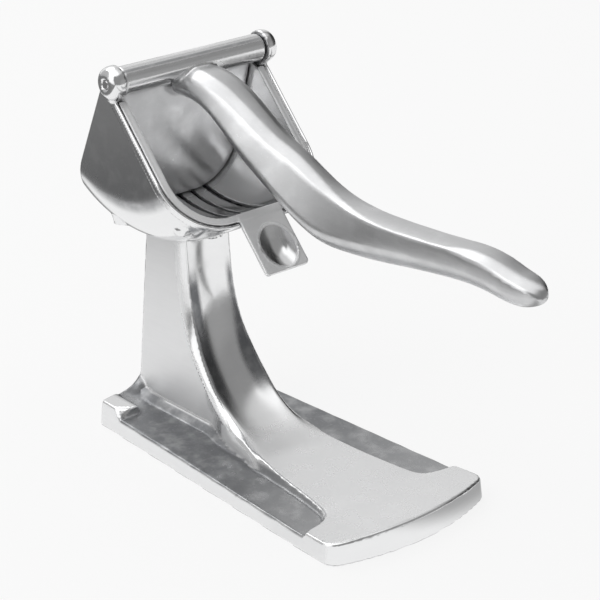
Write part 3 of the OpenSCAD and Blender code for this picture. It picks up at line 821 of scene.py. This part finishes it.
def cloud(sheet, scale, detail, rough=0.55, turn=(0, 0, 0), seed=0.0):
    """Noise of a scale per metre, which may differ along the three axes."""
    at = scaled(sheet, scale, turn)
    values = {"Vector": at, "W": seed, "Scale": 1.0, "Detail": detail, "Roughness": rough}
    return sheet.node("ShaderNodeTexNoise", values, noise_dimensions="4D")


def painted(sheet, label):
    """The number that was painted on the points."""
    return sheet.node("ShaderNodeAttribute", attribute_name=label).other("Fac")


def tint(sheet, factor, first, second):
    """One colour into another. Inputs 6 and 7 and output 2 are the node's colours."""
    values = {"Factor": factor, 6: first, 7: second}
    return sheet.node("ShaderNodeMix", values, out=2, data_type="RGBA")


def metal(sheet, colour, rough, height, metallic=1.0):
    bump = sheet.node("ShaderNodeBump", {"Strength": 1.0, "Distance": 0.001, "Height": height})
    skin = sheet.node("ShaderNodeBsdfPrincipled", {
        "Base Color": colour, "Metallic": metallic, "Roughness": rough, "Normal": bump,
    })
    sheet.node("ShaderNodeOutputMaterial", {"Surface": skin})


def finish_of(name):
    """A new material of the given name, and its sheet."""
    material = bpy.data.materials.new(name)
    material.use_nodes = True
    return material, Sheet(material.node_tree)


# %% Buffed aluminium
GROUND, BUFFED, EDGE_BRIGHT = (0.84, 0.845, 0.855, 1), (0.95, 0.95, 0.95, 1), (0.97, 0.97, 0.97, 1)
# the dark grey of blasted metal, also used for painted shade and painted dark reflection; then the grey of
# painted shade in corners
BLASTED_AND_PAINTED_DARK, PAINTED_SHADE_GREY = (0.16, 0.165, 0.175, 1), (0.2, 0.2, 0.21, 1)
WAVES, PATCHES, GRAINS = (24, 24, 24), (110, 110, 110), (1300, 1300, 1300)


def buffed(name, stroke, dull_and_dark_tone, dull_rough, dull_grain, corner_shade,
           turn=(0, 0, 0), wave=0.08, smooth=0.1, scratch=0.06):
    """Stroke and turn lay the scratches. The dull numbers are for places that the wheel misses, whose dark
    tone is also painted shade and painted reflection on the foot, trough and barrel; the last number sets the
    painted shade in corners.
    """
    material, s = finish_of(name)
    broad = cloud(s, WAVES, 1.0, seed=1.3)
    patches = cloud(s, PATCHES, 4.0, 0.6, seed=4.1)
    lines = cloud(s, stroke, 5.0, 0.75, turn, seed=2.2)
    grain = cloud(s, GRAINS, 2.0, 0.6, seed=7.7)
    # what was painted on the points, made patchy or cut to a soft edge
    dull_and_painted_dark = painted(s, "dull_and_painted_dark") * patches.step(0.25, 0.5, 0.85, 1.0)
    matt = painted(s, "matt")
    corner = painted(s, "corner").step(0.06, 0.5)
    edge = painted(s, "edge").step(0.2, 0.9)
    # rougher along scratches, on blasted places and in corners, smoother on edges
    rough = smooth + 0.08 * patches.step(0.4, 0.7) + scratch * lines + dull_rough * dull_and_painted_dark
    rough = rough + 0.2 * corner - 0.04 * edge + 0.22 * matt
    # ground and buffed lines first, then grain, painted dark places, painted shade in corners and bright
    # edges over them
    colour = tint(s, lines * 0.7 + patches * 0.3, GROUND, BUFFED)
    specks = grain.step(0.6, 0.75) * patches.step(0.45, 0.6)
    # dull places are darkened: blasted metal on the flange, painted shade and painted dark reflection on the
    # foot, trough and barrel
    mottle = dull_and_dark_tone * dull_and_painted_dark * (0.88 + 0.2 * patches.step(0.35, 0.6) - 0.4 * specks)
    colour = tint(s, mottle, colour, BLASTED_AND_PAINTED_DARK)
    # painted shade: corners are darkened towards grey
    colour = tint(s, corner * corner_shade, colour, PAINTED_SHADE_GREY)
    colour = tint(s, edge * 0.5, colour, EDGE_BRIGHT)
    height = wave * broad + 0.12 * scratch * lines + dull_grain * dull_and_painted_dark * grain
    metal(s, colour, rough, height, 1 - 0.45 * matt)
    return material


foot_metal = buffed(
    "buffed_stand", stroke=(50, 50, 500), wave=0.1,
    dull_and_dark_tone=0.85, dull_rough=0.16, dull_grain=0.03, corner_shade=0.25,
)
trough_metal = buffed(
    "buffed_trough", stroke=(700, 90, 60), turn=(0.5, 0, 0),
    dull_and_dark_tone=0.65, dull_rough=0.1, dull_grain=0.02, corner_shade=0.25,
)
lever_metal = buffed(
    "buffed_lever", stroke=(420, 18, 420), turn=(0.2, 0, 0.05), smooth=0.07,
    scratch=0.2, dull_and_dark_tone=0.6, dull_rough=0.28, dull_grain=0, corner_shade=0.1,
)
strainer_metal = buffed(
    "buffed_strainer", stroke=(500, 90, 90), smooth=0.14,
    dull_and_dark_tone=0.05, dull_rough=0.1, dull_grain=0.06, corner_shade=0.12,
)

# %% [markdown]
# ## Ground steel
# The pin is steel, darker than aluminium, and centreless grinding leaves fine lines along it. They could
# be modelled, but they are far finer than a face, so a stretched noise in colour and bump shows them.

# %% Ground steel for the pin
STEEL_DARK, STEEL_LIGHT = (0.55, 0.55, 0.56, 1), (0.72, 0.72, 0.73, 1)
steel, s = finish_of("ground_steel")
lines = cloud(s, (60, 2200, 2200), 2.0, 0.5, seed=3.0)
metal(s, tint(s, lines, STEEL_DARK, STEEL_LIGHT), 0.22 + 0.12 * lines, lines * 0.03)

# %% [markdown]
# ## The hinge pin
# The pin is a straight ground rod with a small chamfer at each end. A cylinder with a bevel would do,
# but a tree keeps length, radius and chamfer as named inputs. It sweeps a circle along a line, and the
# radius narrows over the last part at each end.

# %% Run a Geometry Nodes tree and keep plain mesh
def grow(name, inputs, draw):
    """A plain mesh object from a tree. Inputs are {name: (socket type, value)}, and draw gets
    the tree's sheet and its inputs."""
    tree = bpy.data.node_groups.new(name, "GeometryNodeTree")
    sheet = Sheet(tree)
    tree.interface.new_socket("Geometry", in_out="OUTPUT", socket_type="NodeSocketGeometry")
    for label, (kind, _) in inputs.items():
        tree.interface.new_socket(label, in_out="INPUT", socket_type=kind)
    entry = tree.nodes.new("NodeGroupInput")
    given = {label: Value(sheet, entry.outputs[label]) for label in inputs}
    shape = draw(sheet, given)
    real = sheet.node("GeometryNodeRealizeInstances", {"Geometry": shape})
    skin = sheet.node("GeometryNodeSetMaterial", {"Geometry": real, "Material": given["Metal"]})
    sheet.node("NodeGroupOutput", {"Geometry": skin})
    holder = bpy.data.objects.new(name + "_tree", bpy.data.meshes.new(name + "_seed"))
    bpy.context.scene.collection.objects.link(holder)
    run = holder.modifiers.new("tree", "NODES")
    run.node_group = tree
    items = tree.interface.items_tree
    keys = {item.name: item.identifier for item in items if item.in_out == "INPUT"}
    for label, (_, value) in inputs.items():
        run[keys[label]] = value
    solved = holder.evaluated_get(bpy.context.evaluated_depsgraph_get())
    mesh = bpy.data.meshes.new_from_object(solved)
    mesh.name = name
    holder.modifiers.clear()
    bpy.data.objects.remove(holder)
    piece = bpy.data.objects.new(name, mesh)
    bpy.context.scene.collection.objects.link(piece)
    print(f"{name}: {len(mesh.vertices)} points, {len(mesh.polygons)} faces")
    return piece


# %% The pin's tree
PIN_STATIONS, PIN_SIDES, CHAMFER_LONG = 361, 48, 0.0006


def draw_pin(s, given):
    half, radius, chamfer = given["Half length"], given["Radius"], given["Chamfer"]
    left = s.node("ShaderNodeCombineXYZ", {"X": -half, "Y": given["Back"], "Z": given["Height"]})
    right = s.node("ShaderNodeCombineXYZ", {"X": half, "Y": given["Back"], "Z": given["Height"]})
    line = s.node("GeometryNodeCurvePrimitiveLine", {"Start": left, "End": right})
    line = s.node("GeometryNodeResampleCurve", {"Curve": line, "Count": PIN_STATIONS})
    x = s.node("ShaderNodeSeparateXYZ", {"Vector": s.node("GeometryNodeInputPosition")})
    to_end = half - x.sum("ABSOLUTE")
    size = radius - chamfer + chamfer * to_end.step(0.0, CHAMFER_LONG)
    line = s.node("GeometryNodeSetCurveRadius", {"Curve": line, "Radius": size})
    ring = s.node("GeometryNodeCurvePrimitiveCircle", {"Resolution": PIN_SIDES, "Radius": 1.0})
    swept = {"Curve": line, "Profile Curve": ring, "Fill Caps": True, "Scale": size}
    rod = s.node("GeometryNodeCurveToMesh", swept)
    return s.node("GeometryNodeSetShadeSmooth", {"Geometry": rod})


number, thing = "NodeSocketFloat", "NodeSocketMaterial"
pin = grow("hinge_rod", {
    "Half length": (number, 0.0445), "Radius": (number, 0.002), "Chamfer": (number, 0.0004),
    "Back": (number, HINGE_Y / 1000), "Height": (number, HINGE_Z / 1000), "Metal": (thing, steel),
}, draw_pin)

# %% [markdown]
# ## The bead along the rim
# The trough's rim ends in a thin round bead that catches the light as a fine line. It follows the rim: a
# straight leg, a round corner, and a stretch up to the gap where the strainer's tongue lies. It could
# be part of the field, but it is finer than the grid. So a tree draws one half through its corner
# points, rounds the corner and sweeps a small circle along it. A half turn makes the other half, and
# both are turned into the slanted plane of the rim.

# %% The bead's tree
CORNER_STATIONS, BEAD_SIDES = 60, 16
# the inputs of the quadrilateral node that take its four points
FOUR_POINTS = (7, 8, 9, 10)


def draw_bead(s, given):
    half, top, reach = given["Half width"], given["Top"], given["Reach"]
    middle = (top + reach) * 0.5
    corners = ((-half, top), (-half, middle), (-half, reach), (-given["Gap"], reach))
    spots = [s.node("ShaderNodeCombineXYZ", {"X": side, "Y": down}) for side, down in corners]
    four = dict(zip(FOUR_POINTS, spots))
    legs = s.node("GeometryNodeCurvePrimitiveQuadrilateral", four, mode="POINTS")
    legs = s.node("GeometryNodeSetSplineCyclic", {"Geometry": legs, "Cyclic": False})
    rounding = {"Curve": legs, "Radius": given["Corner"], "Count": CORNER_STATIONS, "Limit Radius": True}
    path = s.node("GeometryNodeFilletCurve", rounding, mode="POLY")
    circle = {"Resolution": BEAD_SIDES, "Radius": given["Bead"]}
    ring = s.node("GeometryNodeCurvePrimitiveCircle", circle)
    bead = s.node("GeometryNodeCurveToMesh", {"Curve": path, "Profile Curve": ring, "Fill Caps": True})
    turned = s.node("GeometryNodeTransform", {"Geometry": bead, "Rotation": (0, math.pi, 0)})
    both = s.node("GeometryNodeJoinGeometry", {"Geometry": [bead, turned]})
    lift = s.node("ShaderNodeCombineXYZ", {"Z": given["Depth"]})
    bead = s.node("GeometryNodeTransform", {"Geometry": both, "Translation": lift})
    hinge = s.node("ShaderNodeCombineXYZ", {"Y": given["Back"], "Z": given["Height"]})
    lean = s.node("ShaderNodeCombineXYZ", {"X": given["Lean"]})
    bead = s.node("GeometryNodeTransform", {"Geometry": bead, "Translation": hinge, "Rotation": lean})
    return s.node("GeometryNodeSetShadeSmooth", {"Geometry": bead})


bead = grow("rim_bead", {
    "Half width": (number, 0.0408), "Top": (number, 0.007), "Reach": (number, 0.0727),
    "Corner": (number, 0.0258), "Gap": (number, 0.0126), "Bead": (number, 0.0006),
    "Depth": (number, 0.0042), "Lean": (number, -math.pi / 2 - RIM),
    "Back": (number, HINGE_Y / 1000), "Height": (number, HINGE_Z / 1000), "Metal": (thing, trough_metal),
}, draw_bead)

# %% [markdown]
# ## Hand the pieces to the frame
# Each shape takes the place of its CAD node and moves with that node's body. The plain CAD solids could
# show instead, but they have no blends, no wear and no finish of their own.

# %% Replace the nodes
for piece, body, nodes, skin in (
    (foot.piece, "stand", ("stand",), foot_metal), (trough.piece, "stand", ("stand",), trough_metal),
    (strainer.piece, "stand", ("strainer",), strainer_metal), (lever.piece, "lever", ("lever",), lever_metal),
    (pin, "stand", ("hinge_pin",), steel), (bead, "stand", ("stand",), trough_metal),
):
    piece.data.materials.clear()
    piece.data.materials.append(skin)
    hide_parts(*nodes)
    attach(piece, body)
print("pieces placed")

# %% [markdown]
# ## The floor
# The press stands on a white sheet. Bare metal has hardly a colour of its own and shows what is round
# it, and in a room the sheet ends and cards stand beside it. Cards could be modelled, but they would
# throw shadows and show at the picture's edge. So the sheet is white to the camera and keeps the
# press's shadow, and only the metal sees it in a few grey bands.

# %% The floor
PALE, WHITE = (0.86, 0.86, 0.86, 1), (1, 1, 1, 1)
FLOOR_SIZE, FLOOR_DROP = 8, 0.0003
SEEN_SHARE, MIRRORED_SHARE = 0.8, 0.95
bpy.ops.mesh.primitive_plane_add(size=FLOOR_SIZE, location=(0, 0, -FLOOR_DROP))
floor = bpy.context.object
floor.name = "pale_floor"
paper = bpy.data.materials.new("pale_paper")
paper.use_nodes = True
s = Sheet(paper.node_tree)
x = s.node("ShaderNodeSeparateXYZ", {"Vector": s.node("ShaderNodeTexCoord").other("Object")})
y = x.other("Y")
to_left, to_right, to_rear = y * 0.747 - x * 0.665, x * 0.66 - y * 0.75, x * 0.9 + y * 0.45
left = to_left.step(0.262, 0.28, 0.94, 0.2)
right = to_right.step(0.075, 0.1, 1.0, 0.42) + to_right.step(0.122, 0.15, 0.0, 0.58)
behind = to_rear.step(0.09, 0.13, 1.0, 0.2) + to_rear.step(0.155, 0.18, 0.0, 0.75)
ray = s.node("ShaderNodeLightPath")
seen = ray.sum("MAXIMUM", ray.other("Is Transmission Ray"))
lit = s.node("ShaderNodeBsdfDiffuse", {"Color": PALE})
white = s.node("ShaderNodeEmission", {"Color": WHITE, "Strength": 1.0})
mirrored = s.node("ShaderNodeEmission", {"Color": WHITE, "Strength": left * right * behind})
view = s.node("ShaderNodeMixShader", {0: seen * SEEN_SHARE, 1: lit, 2: white})
share = ray.other("Is Glossy Ray") * MIRRORED_SHARE
view = s.node("ShaderNodeMixShader", {0: share, 1: view, 2: mirrored})
s.node("ShaderNodeOutputMaterial", {"Surface": view})
floor.data.materials.append(paper)
print("floor ready")

# %% [markdown]
# ## The room's light
# A wide soft light stands above and behind, with darker walls further off, which give the metal its
# grey tones. The room could be built from cards, but a world that is a sum of soft steps over the
# direction does the same from every side. The camera sees it white.

# %% The room's light
AMBIENT = 0.7
room = bpy.data.worlds.new("soft_studio")
bpy.context.scene.world = room
room.use_nodes = True
s = Sheet(room.node_tree)
way = s.node("ShaderNodeSeparateXYZ", {"Vector": s.node("ShaderNodeTexCoord").other("Generated")})
x, y, z = way, way.other("Y"), way.other("Z")
high = (z + y.sum("MINIMUM", 0.0) * 0.25).step(0.66, 0.76)
right_rear = y.step(0.3, 0.62) * x.step(-0.3, 0.1)
left_rear = (y * 0.747 - x * 0.665).step(0.3, 0.8) * z.step(0.7, 0.6)
front = (x - y).step(0.9, 1.3) * z.step(0.5, 0.3)
side = 0.26 + 0.7 * x.step(-0.84, -0.92) + 0.46 * right_rear + 0.22 * left_rear
side = side + 0.06 * front - 0.24 * x.step(0.72, 0.86)
tone = side * (1 - high) + high * x.step(0.3, 0.5, 1.2, 0.64)
ray = s.node("ShaderNodeLightPath")
seen = ray.sum("MAXIMUM", ray.other("Is Transmission Ray"))
glossy = ray.other("Is Glossy Ray")
strength = seen + (1 - seen) * (glossy * tone + (1 - glossy) * AMBIENT)
sky = s.node("ShaderNodeBackground", {"Color": WHITE, "Strength": strength})
s.node("ShaderNodeOutputWorld", {"Surface": sky})
print("room ready")

# %% [markdown]
# ## Soft lamps
# Two large softboxes, behind and to the left, draw the long highlights and a faint shadow. Small lamps
# would make hard dots in the metal. Each is given the brightness that its face shows, from which its
# power follows.

# %% Soft lamps
AIM = Vector((0, 0, 0.1))


def softbox(name, azimuth, elevation, distance, width, height, glow):
    a, e = math.radians(azimuth), math.radians(elevation)
    way = Vector((math.cos(e) * math.sin(a), -math.cos(e) * math.cos(a), math.sin(e)))
    lamp = bpy.data.lights.new(name, "AREA")
    lamp.shape, lamp.size, lamp.size_y = "RECTANGLE", width, height
    lamp.energy = glow * math.pi * width * height
    holder = bpy.data.objects.new(name, lamp)
    turn = way.to_track_quat("Z", "Y").to_matrix().to_4x4()
    holder.matrix_world = Matrix.Translation(AIM + way * distance) @ turn
    bpy.context.scene.collection.objects.link(holder)
    print(name, [round(v, 2) for v in holder.location])


softbox("rear_light", 175, 48, 1.6, 1.3, 0.7, 1.15)
softbox("left_light", -93, 44, 1.6, 1.1, 1.1, 1.1)

# %% [markdown]
# ## The camera
# The camera stands front left and a little above, with a long lens, as in the photograph. It could be
# aimed with a constraint, but a matrix from two angles and a roll is exact and needs no target object.

# %% Place the camera
AZIMUTH, ELEVATION, ROLL = -41.681, 23.243, -0.195
TARGET, DISTANCE = Vector((0.012363, 0, 0.073256)), 0.869955
LENS, SENSOR, NEAR, FAR = 122.818, 36, 0.05, 20
a, e = math.radians(AZIMUTH), math.radians(ELEVATION)
away = Vector((math.cos(e) * math.sin(a), -math.cos(e) * math.cos(a), math.sin(e)))
lens = bpy.data.cameras.new("camera")
lens.lens, lens.sensor_width, lens.clip_start, lens.clip_end = LENS, SENSOR, NEAR, FAR
camera = bpy.data.objects.new("camera", lens)
turn = away.to_track_quat("Z", "Y").to_matrix().to_4x4() @ Matrix.Rotation(math.radians(ROLL), 4, "Z")
camera.matrix_world = Matrix.Translation(TARGET + away * DISTANCE) @ turn
bpy.context.scene.collection.objects.link(camera)
bpy.context.scene.camera = camera
bpy.context.scene.view_settings.view_transform = "Standard"
print("camera at", [round(v, 3) for v in camera.location])
